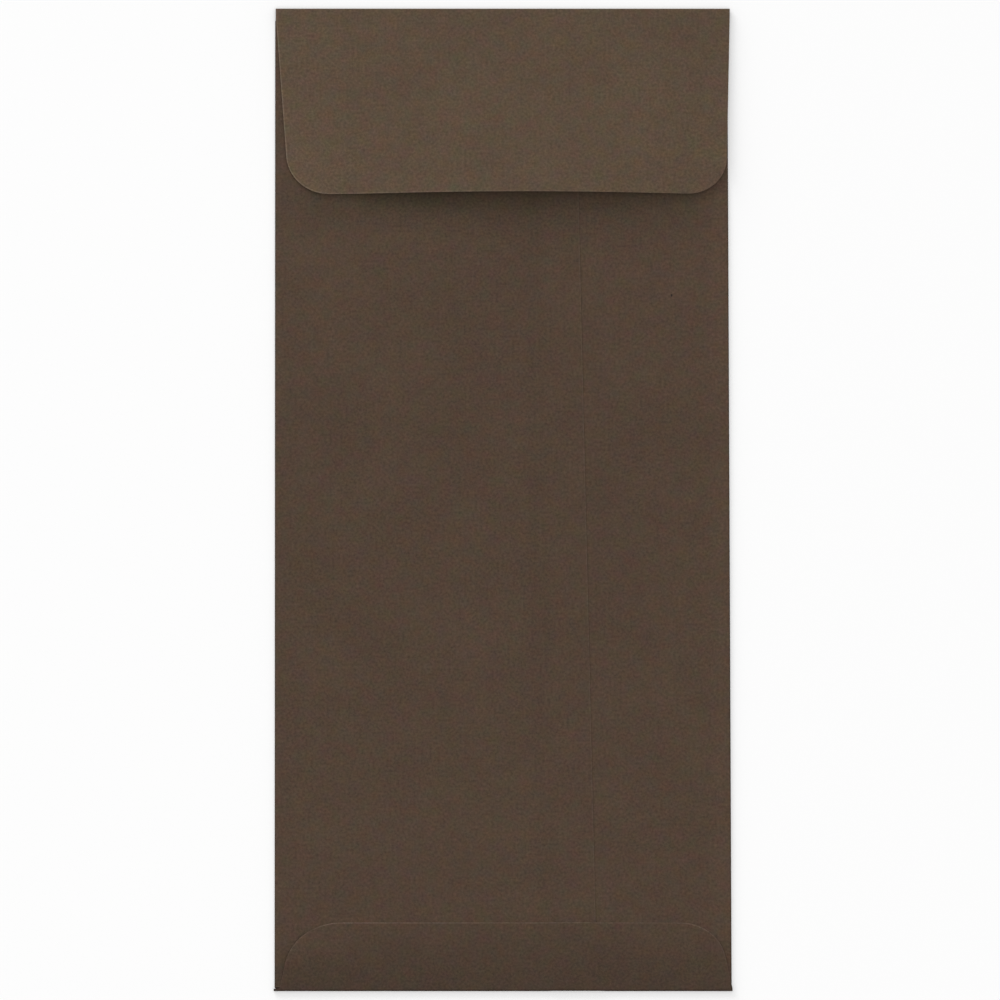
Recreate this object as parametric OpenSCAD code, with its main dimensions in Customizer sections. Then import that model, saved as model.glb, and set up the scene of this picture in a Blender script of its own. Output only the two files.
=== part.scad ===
// Open-end paper envelope, folded from one die-cut sheet and lying on its front.
// The origin is the middle of the footprint, on the lowest face. The back with
// its seam faces up (+Z) and the seal flap is at the +Y end.

/* [Paper] */
// Thickness of the sheet
paper_t = 0.15; // [0.1:0.01:0.3]

/* [Pocket] */
// Width across the two side folds
body_w = 104.8; // [90:0.1:130]
// Length from the bottom fold to the top fold
body_l = 241.3; // [180:0.1:330]
// Clear height inside the empty pocket
pocket_gap = 0.4; // [0.2:0.05:1.2]
// How far the mouth of the pocket lies below the top fold's tangent line
mouth_drop = 2.4; // [1:0.1:12]
// Length of the notch that parts each side fold from the bottom fold
corner_notch = 0.4; // [0.2:0.05:2]
// How far the ends of the bottom fold stand out past the side folds
ear_w = 0.2; // [0:0.05:1]
// How far the sheet's edges beside the mouth stand in from the side folds
shoulder_inset = 0.1; // [0:0.05:2]

/* [Back seam] */
// Distance of the seam from the centre line, at the bottom fold
seam_x_bottom = 21.6; // [5:0.1:30]
// Distance of the seam from the centre line, at the top fold
seam_x_top = 16.9; // [5:0.1:30]
// Width of the glued overlap under the seam
seam_overlap = 10; // [6:0.5:16]
// Width over which a layer steps up or down at an edge under it
step_w = 0.8; // [0.4:0.1:2]
// Clearance between such a step and the edge
step_clear = 0.2; // [0.1:0.05:1]

/* [Bottom flap] */
// Depth from the bottom fold to the glued flap's edge
bottom_d = 16.5; // [14.5:0.1:40]
// How far its left edge starts in from the side fold
bottom_inset_left = 1; // [-0.5:0.05:4]
// How far its right edge starts in from the side fold, below 0 where it stands out
bottom_inset_right = -0.3; // [-0.5:0.05:4]
// Slant of its left edge, in degrees
bottom_slant_left = 12; // [0:0.5:25]
// Slant of its right edge, in degrees
bottom_slant_right = 11.5; // [0:0.5:25]
// Radius of its left corner
bottom_corner_left = 13; // [3:0.5:13.5]
// Radius of its right corner
bottom_corner_right = 10.5; // [3:0.5:13.5]

/* [Seal flap] */
// Depth from the top fold to the free edge
seal_d = 46.2; // [30:0.1:70]
// How far its left edge starts in from the side fold
seal_inset_left = 0; // [-1:0.05:4]
// How far its right edge starts in from the side fold, below 0 where it stands out
seal_inset_right = -0.6; // [-1:0.05:4]
// Slant of its left edge, in degrees
seal_slant_left = 4; // [0:0.1:15]
// Slant of its right edge, in degrees
seal_slant_right = 1.3; // [0:0.1:15]
// Radius of its left corner
seal_corner_left = 10; // [3:0.5:20]
// Radius of its right corner
seal_corner_right = 9; // [3:0.5:20]
// Clearance under the flap where it lies closest to the back
seal_rest_gap = 0.15; // [0.05:0.05:1]
// Lift of the free edge at its left corner
seal_lift_left = 0.1; // [0.1:0.1:5]
// Lift of the free edge at its right corner
seal_lift_right = 0.5; // [0.1:0.1:5]
// Height of the bow in the free edge
bow_h = 1.8; // [0:0.1:8]
// Distance of the bow's top from the centre line
bow_x = 4; // [-15:0.5:15]
// Half the width of the bow
bow_half_w = 38; // [20:0.5:44]

/* [Hidden] */
$fn = 48;

// Levels: the underside of the back panels, of the bottom flap and of the seal flap
back_z = paper_t + pocket_gap;
glued_z = back_z + paper_t;
seal_z = glued_z + paper_t + seal_rest_gap;

// Outer radii of the three kinds of fold
side_r = fold_r(back_z);
bottom_r = fold_r(glued_z);
top_r = fold_r(seal_z);

// The flat part of the front panel, and the stretch of the back panels along Y
flat_x = body_w / 2 - side_r;
flat_y0 = -body_l / 2 + bottom_r;
flat_y1 = body_l / 2 - top_r;
back_y0 = flat_y0 + corner_notch;
back_y1 = flat_y1 - mouth_drop;
shoulder_x = body_w / 2 - shoulder_inset;

// The seam's slant, and where the left panel steps up beside it, square to the seam
seam_a = atan2(seam_x_bottom - seam_x_top, body_l);
step_top = -seam_overlap - step_clear;
step_foot = step_top - step_w;

// How far neighbouring prisms reach into each other, where the seal flap's sheet
// starts past the top fold, and how much thinner its seated root is on each side
lap = 1;
seal_root = top_r + lap;
root_seat = paper_t / 8;

// A height above everything, for cutting outlines
clear_z = 2 * seal_z;

// Rows and columns of the bowed flap, and how softly its bow meets the flat
STRAIGHT_ROWS = 9;
CORNER_ROWS = 9;
COLUMNS = 32;
BOW_BLEND = 0.12;

KRAFT = [0.33, 0.27, 0.22];

// Outer radius of a fold whose upper leaf has its underside at height z
function fold_r(z) = (z - paper_t) / 2 + paper_t;

// X of a line that runs beside the seam, at a distance square to it
function beside_seam(y, distance) =
    seam_x_bottom - (y + body_l / 2) * tan(seam_a) + distance / cos(seam_a);

// How far a flap's side edge stands in from the side fold, s past its crease:
// a slanted line, then an arc that ends square to the flap's free edge
function edge_inset(s, depth, inset, slant, r) =
    let (rise = (s - depth + r) / r)
    rise <= sin(slant)
        ? inset + s * tan(slant)
        : inset + (r + (depth - r) * sin(slant)) / cos(slant) - r * sqrt(max(0, 1 - rise * rise));

// Distances from the crease at which a flap's outline is worked out, closer where
// the larger of its corners bends
function flap_rows(start, depth, r) = concat(
    [for (i = [0 : STRAIGHT_ROWS - 1]) start + (depth - r - start) * i / STRAIGHT_ROWS],
    [for (i = [0 : CORNER_ROWS]) depth - r + r * sin(90 * i / CORNER_ROWS)]
);

// The left and the right edge of each flap, s past its crease
function bottom_left(s) =
    -body_w / 2 + edge_inset(s, bottom_d, bottom_inset_left, bottom_slant_left, bottom_corner_left);
function bottom_right(s) =
    body_w / 2 - edge_inset(s, bottom_d, bottom_inset_right, bottom_slant_right, bottom_corner_right);
function seal_left(s) =
    -body_w / 2 + edge_inset(s, seal_d, seal_inset_left, seal_slant_left, seal_corner_left);
function seal_right(s) =
    body_w / 2 - edge_inset(s, seal_d, seal_inset_right, seal_slant_right, seal_corner_right);

// Lift of the seal flap: it grows straight from the crease to the free edge, and
// across the flap from corner to corner, with a bow that runs out softly
function seal_lift_at(x, s) =
    let (
        u = (x - bow_x) / bow_half_w,
        arch = 1 - u * u,
        bow = (arch + sqrt(arch * arch + BOW_BLEND * BOW_BLEND)) / 2,
        corners = seal_lift_left + (seal_lift_right - seal_lift_left) * (x / body_w + 0.5)
    )
    (corners + bow_h * bow) * max(0, s - seal_root) / (seal_d - seal_root);

// Section of a fold through half a turn. Its outermost line is at x = 0, and its
// upper leaf, whose underside lies at height z, runs on for the length of leaf.
module fold_section(z, leaf) {
    r = fold_r(z);
    difference() {
        translate([r, r]) circle(r);
        translate([r, r]) circle(r - paper_t);
        translate([r, -r]) square([2 * r, 4 * r]);
    }
    translate([r, z]) square([leaf, paper_t]);
}

// Carries a section in Y and Z along X, from x0 to x1
module across(x0, x1) {
    translate([x0, 0, 0]) rotate([90, 0, 90]) linear_extrude(x1 - x0) children();
}

// Carries a section in X and Z along Y, from y0 to y1
module along(y0, y1) {
    translate([0, y1, 0]) rotate([90, 0, 0]) linear_extrude(y1 - y0) children();
}

// Carries a section along the seam, past both ends of the sheet. Its x is the
// distance square to the seam.
module beside_the_seam() {
    translate([seam_x_bottom, -body_l / 2, 0])
        rotate([0, 0, seam_a])
            along(-body_w, body_l + body_w) children();
}

// The front panel, flat between its four folds, with a shoulder on each side of the mouth
module front_panel() {
    translate([-flat_x, flat_y0, 0]) cube([2 * flat_x, back_y1 - flat_y0, paper_t]);
    translate([-shoulder_x, back_y1, 0]) cube([2 * shoulder_x, mouth_drop, paper_t]);
}

// The bottom fold, whose ends stand out past the side folds as small ears
module bottom_fold() {
    ear_x = body_w / 2 + ear_w;
    across(-ear_x, ear_x)
        translate([-body_l / 2, 0]) fold_section(glued_z, corner_notch / 2);
}

// The top fold, as wide as the shoulders, or as the seal flap where it stands out past them
module top_fold() {
    across(min(-shoulder_x, seal_left(seal_root)), max(shoulder_x, seal_right(seal_root)))
        translate([body_l / 2, 0]) mirror([1, 0]) fold_section(seal_z, lap);
}

// Section of a side fold, with a narrow leaf on the front and on the back panel
module side_fold_section() {
    translate([-body_w / 2, 0]) {
        fold_section(back_z, lap);
        translate([side_r, 0]) square([lap, paper_t]);
    }
}

module side_folds() {
    along(back_y0, back_y1) {
        side_fold_section();
        mirror([1, 0]) side_fold_section();
    }
}

// A back panel's flat, between a side fold and a line beside the seam
module back_flat(side_x, distance) {
    translate([0, 0, back_z])
        linear_extrude(paper_t)
            polygon([
                [side_x, back_y0],
                [beside_seam(back_y0, distance), back_y0],
                [beside_seam(back_y1, distance), back_y1],
                [side_x, back_y1]
            ]);
}

// Section of the left panel where it steps up over the right one and ends at the seam
module seam_section() {
    polygon([
        [step_foot - lap, back_z],
        [step_foot, back_z],
        [step_top, glued_z],
        [0, glued_z],
        [0, glued_z + paper_t],
        [step_top, glued_z + paper_t],
        [step_foot, glued_z],
        [step_foot - lap, glued_z]
    ]);
}

// The two back panels, glued where the left one lies over the right one
module back_panels() {
    back_flat(-flat_x, step_foot - lap / 2);
    back_flat(flat_x, -seam_overlap);
    intersection() {
        beside_the_seam() seam_section();
        along(back_y0, back_y1)
            translate([-flat_x, 0]) square([2 * flat_x, clear_z]);
    }
}

// Section of the bottom flap where it steps over the double layer at the seam
module draped_section() {
    top = glued_z + paper_t;
    polygon([
        [-body_w, glued_z],
        [step_foot, glued_z],
        [step_top, top],
        [step_clear, top],
        [step_clear + step_w, glued_z],
        [body_w, glued_z],
        [body_w, top],
        [step_clear + step_w, top],
        [step_clear, top + paper_t],
        [step_top, top + paper_t],
        [step_foot, top],
        [-body_w, top]
    ]);
}

// The glued bottom flap, cut to its outline and laid over the back panels
module bottom_flap() {
    rows = flap_rows(
        bottom_r + corner_notch / 4, bottom_d, max(bottom_corner_left, bottom_corner_right)
    );
    last = len(rows) - 1;
    intersection() {
        beside_the_seam() draped_section();
        translate([0, -body_l / 2, 0])
            linear_extrude(clear_z)
                polygon(concat(
                    [for (s = rows) [bottom_left(s), s]],
                    [for (i = [last : -1 : 0]) [bottom_right(rows[i]), rows[i]]]
                ));
    }
}

// The open seal flap past its fold: a sheet over rows that follow its outline,
// its lower and its upper side both lifted into the bow. Its root is a tongue
// that is seated inside the fold's leaf.
module seal_flap() {
    rows = concat(
        [seal_root - lap / 2, seal_root],
        flap_rows(seal_root + lap, seal_d, max(seal_corner_left, seal_corner_right))
    );
    n_rows = len(rows);
    n_side = n_rows * (COLUMNS + 1);
    function seat(s) = s > seal_root ? 0 : root_seat;
    points = [
        for (layer = [0, 1], s = rows, j = [0 : COLUMNS])
            let (
                x0 = seal_left(s) + seat(s),
                x1 = seal_right(s) - seat(s),
                x = x0 + (x1 - x0) * j / COLUMNS,
                z = seal_z + (layer == 0 ? seat(s) : paper_t - seat(s))
            )
            [x, body_l / 2 - s, z + seal_lift_at(x, s)]
    ];
    function at(layer, i, j) = layer * n_side + i * (COLUMNS + 1) + j;
    lower = [
        for (i = [0 : n_rows - 2], j = [0 : COLUMNS - 1])
            each [
                [at(0, i, j), at(0, i + 1, j + 1), at(0, i, j + 1)],
                [at(0, i, j), at(0, i + 1, j), at(0, i + 1, j + 1)]
            ]
    ];
    upper = [for (f = lower) [f[0] + n_side, f[2] + n_side, f[1] + n_side]];
    rim = concat(
        [for (j = [0 : COLUMNS]) at(0, 0, j)],
        [for (i = [1 : n_rows - 1]) at(0, i, COLUMNS)],
        [for (j = [COLUMNS - 1 : -1 : 0]) at(0, n_rows - 1, j)],
        [for (i = [n_rows - 2 : -1 : 1]) at(0, i, 0)]
    );
    n_rim = len(rim);
    walls = [
        for (k = [0 : n_rim - 1])
            let (a = rim[k], b = rim[(k + 1) % n_rim])
            each [
                [a, b + n_side, a + n_side],
                [a, b, b + n_side]
            ]
    ];
    polyhedron(points, concat(lower, upper, walls));
}

module envelope() {
    color(KRAFT) {
        front_panel();
        bottom_fold();
        top_fold();
        side_folds();
        back_panels();
        bottom_flap();
        seal_flap();
    }
}

envelope();
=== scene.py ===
import logging
import math
from dataclasses import dataclass
from enum import IntEnum, StrEnum

import bpy
from mathutils import Matrix, Vector


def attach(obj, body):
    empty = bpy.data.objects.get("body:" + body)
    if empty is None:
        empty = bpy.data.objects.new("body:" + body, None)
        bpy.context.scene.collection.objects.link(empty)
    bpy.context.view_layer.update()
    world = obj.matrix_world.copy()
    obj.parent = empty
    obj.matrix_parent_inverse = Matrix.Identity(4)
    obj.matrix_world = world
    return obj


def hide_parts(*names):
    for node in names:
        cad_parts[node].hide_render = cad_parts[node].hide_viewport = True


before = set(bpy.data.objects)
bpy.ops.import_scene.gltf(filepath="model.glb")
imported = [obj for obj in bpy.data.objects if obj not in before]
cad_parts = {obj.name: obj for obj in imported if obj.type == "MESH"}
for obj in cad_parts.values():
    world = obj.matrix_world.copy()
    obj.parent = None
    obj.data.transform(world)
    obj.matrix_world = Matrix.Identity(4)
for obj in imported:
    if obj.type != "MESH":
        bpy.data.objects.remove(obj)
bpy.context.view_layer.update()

MM = 0.001
NODE = "envelope"
BODY = "root"
PIECE = "envelope_sheet"

Colour = tuple[float, float, float]
Point = tuple[float, float, float]
UNTINTED: Colour = (1.0, 1.0, 1.0)
NOISE_MEAN = 0.5

log = logging.getLogger("envelope")


class Leaf(IntEnum):
    """The five leaves of the die-cut blank, as the folds part them."""

    FRONT = 0
    LEFT = 1
    RIGHT = 2
    BOTTOM = 3
    SEAL = 4


class Socket(StrEnum):
    """The types of socket that the node groups have."""

    BOOL = "NodeSocketBool"
    FLOAT = "NodeSocketFloat"
    GEOMETRY = "NodeSocketGeometry"
    MATERIAL = "NodeSocketMaterial"
    VECTOR = "NodeSocketVector"


class Graph:
    """A node tree under construction, with short ways to place and link nodes."""

    NODE_SPACING = 180
    EQUAL_WITHIN = 0.1

    def __init__(self, tree: bpy.types.NodeTree) -> None:
        """Takes the tree that the nodes go into."""
        self.tree = tree

    def feed(self, socket: bpy.types.NodeSocket, value: object) -> None:
        """Links a field to an input socket, or sets the socket to a plain value.

        Args:
            socket: The input socket.
            value: A Field, an output socket or a plain value.
        """
        if isinstance(value, Field):
            value = value.socket
        if isinstance(value, bpy.types.NodeSocket):
            self.tree.links.new(value, socket)
        else:
            socket.default_value = value

    def use(self, kind: str, inputs: dict[str | int, object] | None = None,
            **settings: object) -> bpy.types.Node:
        """Places a node to the right of the last one and feeds its inputs.

        Args:
            kind: Blender's name for the kind of node.
            inputs: What goes into each input, by the socket's name or its place in the list.
            settings: Properties to set on the node.

        Returns:
            The new node.
        """
        node = self.tree.nodes.new(kind)
        node.location = (self.NODE_SPACING * len(self.tree.nodes), 0)
        for name, value in settings.items():
            setattr(node, name, value)
        for name, value in (inputs or {}).items():
            self.feed(node.inputs[name], value)
        return node

    def made(self, kind: str, inputs: dict[str | int, object] | None = None,
             **settings: object) -> "Field":
        """Gives the first output of a new node, placed and fed as by use."""
        return Field(self, self.use(kind, inputs, **settings).outputs[0])

    def group(self, tree: bpy.types.NodeTree, inputs: dict[str, object]) -> bpy.types.Node:
        """Places a group of the same kind of tree and feeds its named inputs."""
        return self.use(tree.bl_idname.removesuffix("Tree") + "Group", inputs, node_tree=tree)

    def math(self, operation: str, *values: object) -> "Field":
        """Gives one arithmetic step on numbers, by the name of the operation."""
        return self.made("ShaderNodeMath", dict(enumerate(values)), operation=operation)

    def equal(self, value: object, number: int) -> "Field":
        """Gives 1 where a whole value is the given number, else 0."""
        return self.math("COMPARE", value, float(number), self.EQUAL_WITHIN)

    def vector(self, operation: str, first: object, second: object) -> "Field":
        """Gives one step of vector arithmetic.

        Args:
            operation: Name of the operation.
            first: The vector.
            second: The other vector, or the factor of a SCALE.

        Returns:
            The result, a number where the operation is a DOT_PRODUCT.
        """
        inputs = {0: first, "Scale" if operation == "SCALE" else 1: second}
        node = self.use("ShaderNodeVectorMath", inputs, operation=operation)
        return Field(self, node.outputs["Value" if operation == "DOT_PRODUCT" else "Vector"])

    def ramp(self, value: object, low: object, high: object, start: object = 0.0,
             end: object = 1.0) -> "Field":
        """Gives a soft step from start to end while value goes from low to high."""
        inputs = {"Value": value, "From Min": low, "From Max": high, "To Min": start, "To Max": end}
        return self.made("ShaderNodeMapRange", inputs, interpolation_type="SMOOTHSTEP")

    def split(self, vector: object) -> tuple["Field", "Field", "Field"]:
        """Gives the X, Y and Z of a vector."""
        node = self.use("ShaderNodeSeparateXYZ", {"Vector": vector})
        return tuple(Field(self, socket) for socket in node.outputs)

    def join(self, x: object, y: object, z: object) -> "Field":
        """Gives the vector with the given X, Y and Z."""
        return self.made("ShaderNodeCombineXYZ", {"X": x, "Y": y, "Z": z})

    def noise(self, vector: object, scale: object, detail: float, output: str = "Fac") -> "Field":
        """Gives a noise texture's value, or its colour where output is Color."""
        node = self.use("ShaderNodeTexNoise", {"Vector": vector, "Scale": scale, "Detail": detail})
        return Field(self, node.outputs[output])

    def attribute(self, name: str, output: str = "Fac") -> "Field":
        """Gives what is stored on the mesh under a name, for a shader."""
        return Field(self, self.use("ShaderNodeAttribute", attribute_name=name).outputs[output])

    def stored(self, name: str, kind: str) -> "Field":
        """Gives what is stored on the mesh under a name, for a tree that makes geometry."""
        return self.made("GeometryNodeInputNamedAttribute", {"Name": name}, data_type=kind)

    def position(self) -> "Field":
        """Gives each point's place, for a tree that makes geometry."""
        return self.made("GeometryNodeInputPosition")

    def shifted(self, sheet: object, offset: "Field", selection: object = True) -> "Field":
        """Gives a geometry whose selected points are moved by an offset."""
        inputs = {"Geometry": sheet, "Selection": selection, "Offset": offset}
        return self.made("GeometryNodeSetPosition", inputs)


@dataclass(frozen=True)
class Field:
    """A value in a node tree, which plain arithmetic turns into Math nodes."""

    graph: Graph
    socket: bpy.types.NodeSocket

    def __add__(self, other: object) -> "Field":
        """Adds."""
        return self.graph.math("ADD", self, other)

    def __sub__(self, other: object) -> "Field":
        """Subtracts the other value from this one."""
        return self.graph.math("SUBTRACT", self, other)

    def __rsub__(self, other: object) -> "Field":
        """Subtracts this value from a plain number."""
        return self.graph.math("SUBTRACT", other, self)

    def __mul__(self, other: object) -> "Field":
        """Multiplies."""
        return self.graph.math("MULTIPLY", self, other)

    def __truediv__(self, other: object) -> "Field":
        """Divides this value by the other one."""
        return self.graph.math("DIVIDE", self, other)

    def __neg__(self) -> "Field":
        """Turns this value's sign round."""
        return self.graph.math("MULTIPLY", self, -1.0)

    def __abs__(self) -> "Field":
        """Gives the size of this value, without its sign."""
        return self.graph.math("ABSOLUTE", self)

    def toward(self, other: object, share: object) -> "Field":
        """Gives a value that goes from this one to the other as the share goes from 0 to 1."""
        return self + (other - self) * share


def new_group(name: str, kind: str, inputs: dict[str, Socket],
              outputs: dict[str, Socket]) -> tuple[Graph, dict[str, Field]]:
    """Starts a node group with named sockets.

    Args:
        name: Name of the group.
        kind: ShaderNodeTree or GeometryNodeTree.
        inputs: Type of each input socket, by its name.
        outputs: Type of each output socket, by its name.

    Returns:
        The group's graph, and its inputs as fields by name.
    """
    tree = bpy.data.node_groups.new(name, kind)
    for direction, sockets in (("INPUT", inputs), ("OUTPUT", outputs)):
        for socket, socket_type in sockets.items():
            tree.interface.new_socket(socket, in_out=direction, socket_type=socket_type)
    graph = Graph(tree)
    entry = graph.use("NodeGroupInput")
    return graph, {socket: Field(graph, entry.outputs[socket]) for socket in inputs}


def close_group(graph: Graph, results: dict[str, object]) -> bpy.types.NodeTree:
    """Feeds a group's outputs by name and gives the finished group."""
    graph.use("NodeGroupOutput", results)
    return graph.tree


def add_object(name: str, data: bpy.types.ID) -> bpy.types.Object:
    """Makes an object of a mesh, a lamp or a camera and puts it in the scene.

    Args:
        name: The object's name.
        data: What it shows.

    Returns:
        The new object.
    """
    holder = bpy.data.objects.new(name, data)
    bpy.context.scene.collection.objects.link(holder)
    return holder


@dataclass(frozen=True)
class FibreGrain:
    """Felted pulp: a fine grain, with strands that lie across it in a few lays."""

    lays: tuple[tuple[float, float], ...] = ((0.5, 7.0), (2.2, 6.0), (1.35, 8.0))
    strand_band: tuple[float, float] = (0.56, 0.74)
    strand_mean: float = 0.3
    strand_tone: float = 0.12
    strand_height: float = 0.4

    def group(self) -> bpy.types.NodeTree:
        """Makes the shader group, whose lays each have a turn and a stretch.

        Returns:
            A group that turns a place on the sheet into a tone around 0.5 and a height from 0 to 1.
        """
        graph, given = new_group(
            "fibre_grain", "ShaderNodeTree",
            {"Place": Socket.VECTOR, "Grain": Socket.FLOAT, "Strand": Socket.FLOAT},
            {"Tone": Socket.FLOAT, "Height": Socket.FLOAT},
        )
        fine = graph.noise(given["Place"], graph.math("DIVIDE", 1.0, given["Grain"]), 2.0)
        scale = graph.math("DIVIDE", 1.0, given["Strand"])
        strands = None
        for angle, stretch in self.lays:
            inputs = {"Vector": given["Place"], "Angle": angle}
            turned = graph.made("ShaderNodeVectorRotate", inputs, rotation_type="Z_AXIS")
            drawn = graph.vector("MULTIPLY", turned, (1.0 / stretch, 1.0, 1.0))
            lay = graph.ramp(graph.noise(drawn, scale, 1.0), *self.strand_band)
            strands = lay if strands is None else graph.math("MAXIMUM", strands, lay)
        return close_group(graph, {
            "Tone": fine + (strands - self.strand_mean) * self.strand_tone,
            "Height": fine * (1.0 - self.strand_height) + strands * self.strand_height,
        })


def cloudy_tint_group() -> bpy.types.NodeTree:
    """Makes the shader group for uneven dye: soft blotches that lean to red, green or blue.

    Returns:
        A group that turns a place into a colour factor around 1.
    """
    sizes = {"Blotch": Socket.FLOAT, "Tint": Socket.VECTOR, "Shade": Socket.FLOAT}
    graph, given = new_group(
        "cloudy_tint", "ShaderNodeTree", {"Place": Socket.VECTOR, **sizes}, {"Factor": Socket.VECTOR}
    )
    scale = graph.math("DIVIDE", 1.0, given["Blotch"])
    hue = graph.noise(given["Place"], scale, 2.0, "Color")
    hue = graph.vector("SUBTRACT", hue, (NOISE_MEAN, NOISE_MEAN, NOISE_MEAN))
    tinted = graph.vector("MULTIPLY", hue, given["Tint"])
    elsewhere = graph.vector("ADD", given["Place"], (1.0, 1.0, 0.0))
    shade = (graph.noise(elsewhere, scale, 2.0) - NOISE_MEAN) * given["Shade"] + 1.0
    return close_group(graph, {"Factor": graph.vector("ADD", tinted, graph.join(shade, shade, shade))})


@dataclass(frozen=True)
class KraftPaper:
    """The finish of dyed dark kraft paper: matt, felted, a little uneven in its dye."""

    colour: Colour = (0.0789, 0.0503, 0.0328)
    roughness: float = 0.86
    roughness_swing: float = 0.10
    specular: float = 0.18
    fibres: FibreGrain = FibreGrain()
    grain: float = 0.62 * MM
    strand: float = 0.16 * MM
    grain_strength: float = 0.96
    blotch: float = 3.0 * MM
    blotch_tint: Colour = (0.42, 0.31, 0.40)
    blotch_shade: float = 0.10
    cloud: float = 16.0 * MM
    cloud_tint: Colour = (0.05, 0.05, 0.06)
    cloud_shade: float = 0.22
    # The cut rims' painted highlight, with some scuffing: its width, core and tint.
    rim_width: float = 0.34 * MM
    rim_core: float = 0.4
    rim_tint: Colour = (0.85, 1.05, 1.35)
    cut_gain: float = 0.30
    relief: float = 0.030 * MM
    speck_place: tuple[float, float] = (65.76 * MM, 49.6 * MM)
    speck_half: tuple[float, float] = (0.24 * MM, 0.36 * MM)
    speck_rim: tuple[float, float] = (1.5, 1.0)
    speck_wobble: float = 0.8
    speck_colour: Colour = (0.018, 0.013, 0.011)

    def speck_mask(self, graph: Graph, place: Field) -> Field:
        """Gives 1 inside the one dark fleck of bark in the sheet.

        Args:
            graph: The material's graph.
            place: Place on the flat blank.

        Returns:
            The fleck's mask, soft at its rim.
        """
        x, y, _ = graph.split(place)
        across = (x - self.speck_place[0]) / self.speck_half[0]
        along = (y - self.speck_place[1]) / self.speck_half[1]
        wobble = graph.noise(place, 1.0 / self.speck_half[0], 1.0) * self.speck_wobble
        reach = graph.math("SQRT", across * across + along * along) + wobble
        return graph.ramp(reach, *self.speck_rim)

    def dyed(self, graph: Graph, place: Field, tone: Field) -> Field:
        """Gives the paper's colour.

        Args:
            graph: The material's graph.
            place: Place on the flat blank.
            tone: The grain's tone, around 0.5.

        Returns:
            The colour, with the grain, the stored tones (among them painted shadow, shade and light),
            the rims' painted highlight with scuffing, and the uneven dye.
        """
        grained = (tone - NOISE_MEAN) * self.grain_strength + 1.0
        grained = grained * (graph.attribute("cut") * self.cut_gain + 1.0)
        shade = graph.vector("SCALE", self.colour, grained)
        # The stored tone holds painted shadow below the seal flap, painted shade in the folds and
        # painted light on the seal flap, besides the paper's own tones.
        shade = graph.vector("MULTIPLY", shade, graph.attribute("tone", "Vector"))
        # Painted highlight, with some scuffing, along the cut rims.
        rim = graph.ramp(graph.attribute("rim"), self.rim_width, self.rim_width * self.rim_core)
        highlight_scuffed = graph.vector("SCALE", self.rim_tint, rim * graph.attribute("wear"))
        shade = graph.vector("MULTIPLY", shade, graph.vector("ADD", highlight_scuffed, UNTINTED))
        tint = cloudy_tint_group()
        for size, lean, depth in (
            (self.blotch, self.blotch_tint, self.blotch_shade),
            (self.cloud, self.cloud_tint, self.cloud_shade),
        ):
            cloud = graph.group(tint, {"Place": place, "Blotch": size, "Tint": lean, "Shade": depth})
            shade = graph.vector("MULTIPLY", shade, cloud.outputs["Factor"])
        return shade

    def material(self) -> bpy.types.Material:
        """Makes the material, which reads the place on the blank from the sheet itself.

        Returns:
            The finished material.
        """
        made = bpy.data.materials.new("kraft_paper")
        made.use_nodes = True
        graph = Graph(made.node_tree)
        shader = made.node_tree.nodes["Principled BSDF"]
        place = graph.attribute("blank", "Vector")
        fibres = graph.group(
            self.fibres.group(), {"Place": place, "Grain": self.grain, "Strand": self.strand}
        )
        shade = self.dyed(graph, place, Field(graph, fibres.outputs["Tone"]))
        speck = graph.vector("SUBTRACT", self.speck_colour, shade)
        speck = graph.vector("SCALE", speck, self.speck_mask(graph, place))
        graph.feed(shader.inputs["Base Color"], graph.vector("ADD", shade, speck))
        height = Field(graph, fibres.outputs["Height"])
        rougher = self.roughness + self.roughness_swing / 2
        graph.feed(shader.inputs["Roughness"], height * -self.roughness_swing + rougher)
        shader.inputs["Specular IOR Level"].default_value = self.specular
        bump = {"Strength": 1.0, "Distance": self.relief, "Height": height}
        graph.feed(shader.inputs["Normal"], graph.made("ShaderNodeBump", bump))
        return made


@dataclass(frozen=True)
class PaleGround:
    """The finish of the floor: pale, matt, and lifted to near white for the camera."""

    colour: Colour = (0.80, 0.80, 0.80)
    lift: float = 0.235

    def material(self) -> bpy.types.Material:
        """Makes the floor's material.

        Returns:
            A diffuse surface with a glow that only the viewer and mirrors see.
        """
        made = bpy.data.materials.new("pale_ground")
        made.use_nodes = True
        graph = Graph(made.node_tree)
        made.node_tree.nodes.remove(made.node_tree.nodes["Principled BSDF"])
        matt = graph.use("ShaderNodeBsdfDiffuse", {"Color": (*self.colour, 1.0)})
        glow = graph.use("ShaderNodeEmission", {"Strength": seen_directly(graph) * self.lift})
        both = graph.use("ShaderNodeAddShader", {0: matt.outputs[0], 1: glow.outputs[0]})
        graph.feed(made.node_tree.nodes["Material Output"].inputs["Surface"], both.outputs[0])
        return made


def seen_directly(graph: Graph) -> Field:
    """Tells the rays that look at the scene from those that light it.

    Args:
        graph: The material's or the world's graph.

    Returns:
        1 for the viewer's own rays and for mirrored or refracted ones, else 0.
    """
    path = graph.use("ShaderNodeLightPath")
    seen = graph.math("MAXIMUM", path.outputs["Is Camera Ray"], path.outputs["Is Glossy Ray"])
    return graph.math("MAXIMUM", seen, path.outputs["Is Transmission Ray"])


@dataclass(frozen=True)
class SideCut:
    """One side of a flap: a slanted edge that ends in a rounded corner."""

    inset: float
    slant: float
    corner: float

    def edge_inset(self, along: float, depth: float) -> float:
        """Gives how far the edge stands in from the side fold.

        Args:
            along: Distance from the flap's fold.
            depth: The flap's depth.

        Returns:
            The slanted line's inset, or the corner's past the place where its arc starts.
        """
        slant = math.radians(self.slant)
        rise = (along - depth + self.corner) / self.corner
        if rise <= math.sin(slant):
            return self.inset + along * math.tan(slant)
        straight = (self.corner + (depth - self.corner) * math.sin(slant)) / math.cos(slant)
        return self.inset + straight - self.corner * math.sqrt(max(0.0, 1.0 - rise * rise))


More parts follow.
